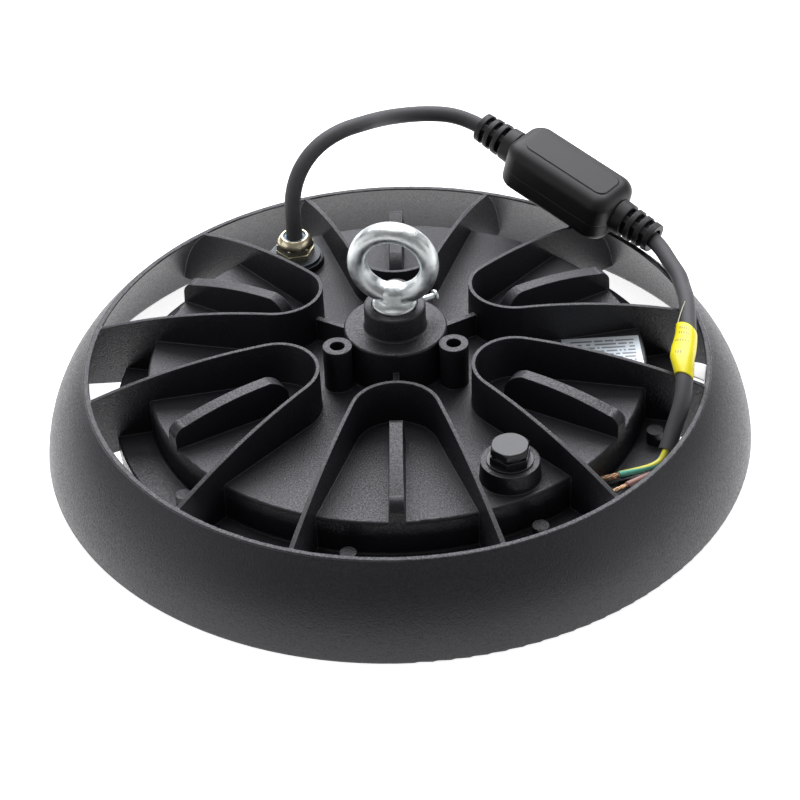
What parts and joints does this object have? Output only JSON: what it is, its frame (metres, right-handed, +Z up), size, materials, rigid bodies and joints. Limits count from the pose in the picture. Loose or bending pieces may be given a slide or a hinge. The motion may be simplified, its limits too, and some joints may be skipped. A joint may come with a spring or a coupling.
{
  "type": "high_bay_light",
  "caption": "Round die-cast high bay light with U-shaped fins, an eye bolt, a cable gland, a vent plug, a lens plate below, and a supply lead with an inline module",
  "frame": {"origin": "centre of the ring's bottom edge", "axes": "+Z is up along the eye bolt, +X points to the rating label, +Y points to the back of the reference view"},
  "size_m": [0.3282, 0.3282, 0.113],
  "materials": {
    "casting": "satin dark grey powder coat",
    "zinc_steel": "zinc plated",
    "nickel_brass": "nickel plated brass",
    "seal_rubber": "blue-grey rubber",
    "black_plastic": "matt black plastic",
    "label_foil": "silver foil with plain dark bars",
    "plate_metal": "bare aluminium",
    "white_board": "white solder mask",
    "chip_yellow": "phosphor",
    "clear_lens": "clear polycarbonate",
    "green_board": "green solder mask",
    "ferrite": "ferrite and tape",
    "cable_rubber": "matt dark grey rubber",
    "yellow_film": "yellow film",
    "white_film": "white film",
    "earth_sheath": "green and yellow sheath",
    "live_sheath": "brown sheath",
    "neutral_sheath": "blue sheath",
    "copper": "tinned copper strands"
  },
  "bodies": {
    "root": {"heat_sink": "casting", "eye_bolt": "zinc_steel", "lock_screw": "zinc_steel", "board_screws": "zinc_steel", "lens_screws": "zinc_steel", "driver_screws": "zinc_steel", "gland_body": "nickel_brass", "gland_nut": "nickel_brass", "gland_washer": "seal_rubber", "gland_seal": "seal_rubber", "vent_washer": "seal_rubber", "lens_gasket": "seal_rubber", "vent_plug": "black_plastic", "driver_spacers": "black_plastic", "driver_terminal": "black_plastic", "rating_label": "label_foil", "mounting_plate": "plate_metal", "lens_frame": "plate_metal", "led_board": "white_board", "led_chips": "chip_yellow", "lens": "clear_lens", "driver_board": "green_board", "module_board": "green_board", "driver_transformer": "ferrite", "driver_choke": "ferrite", "driver_capacitors": "ferrite", "supply_lead": "cable_rubber", "tail_lead": "cable_rubber", "strain_relief_in": "cable_rubber", "strain_relief_out": "cable_rubber", "module_base": "cable_rubber", "module_cover": "cable_rubber", "wire_tag": "yellow_film", "tag_flag": "white_film", "earth_core": "earth_sheath", "live_core": "live_sheath", "neutral_core": "neutral_sheath", "earth_strands": "copper", "live_strands": "copper", "neutral_strands": "copper"}
  },
  "joints": []
}
